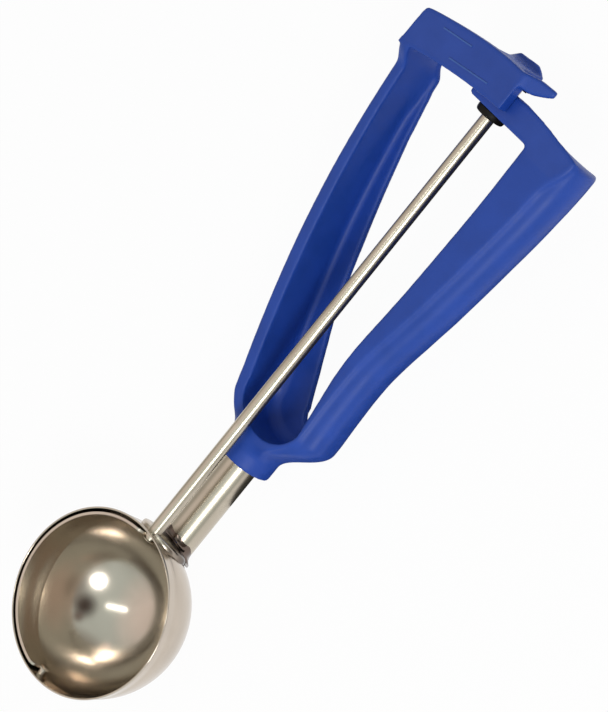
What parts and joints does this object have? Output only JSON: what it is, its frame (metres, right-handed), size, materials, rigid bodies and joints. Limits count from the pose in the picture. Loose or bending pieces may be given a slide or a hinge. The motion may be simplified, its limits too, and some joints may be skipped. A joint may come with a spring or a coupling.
{
  "type": "ice cream scoop",
  "caption": "Lever ice cream scoop with a round steel bowl, a moulded squeeze handle, and a rack-driven scraper blade that sweeps the bowl clean.",
  "frame": {"origin": "middle of the object's box at the height of the lowest point of the bowl", "axes": "+Y from the bowl to the strap at the handle's end, parallel to the spindle; +Z out of the bowl's mouth; +X towards the fixed grip, with the squeeze lever on the -X side"},
  "size_m": [0.0708, 0.2368, 0.0386],
  "materials": {
    "handle_plastic": "satin moulded nylon with a fine grain",
    "polished_steel": "polished stainless steel with fine wiping scratches",
    "bearing_plastic": "black moulded nylon, half gloss"
  },
  "bodies": {
    "frame": {"bowl": "polished_steel", "blade_pivot_rivet": "polished_steel", "bowl_saddle": "polished_steel", "braze_ring": "polished_steel", "shaft_tube": "polished_steel", "handle_neck": "handle_plastic", "fixed_grip": "handle_plastic", "grip_end_wall": "handle_plastic", "cross_arm": "handle_plastic", "spindle_boss": "handle_plastic", "bearing_bush": "bearing_plastic"},
    "spindle": {"spindle_rod": "polished_steel", "scraper_blade": "polished_steel", "pinion": "bearing_plastic", "spacer_sleeve": "polished_steel"},
    "lever": {"lever_root": "handle_plastic", "squeeze_lever": "handle_plastic", "strap": "handle_plastic", "thumb_lip": "handle_plastic", "rack_carrier": "handle_plastic", "gear_rack": "handle_plastic"}
  },
  "joints": [
    {"name": "squeeze", "type": "hinge", "parent": "frame", "child": "lever", "pos_m": [-0.01, -0.0124, 0.0284], "axis": [0, 0, -1], "range_deg": [0, 5.29], "stiffness_Nm_per_rad": 4},
    {"name": "spindle_turn", "type": "hinge", "parent": "frame", "child": "spindle", "pos_m": [-0.0014, -0.0894, 0.0284], "axis": [0, -1, 0], "range_deg": [0, 165]}
  ],
  "couplings": [
    {"joint": "spindle_turn", "follows": "squeeze", "ratio": 31.175}
  ]
}
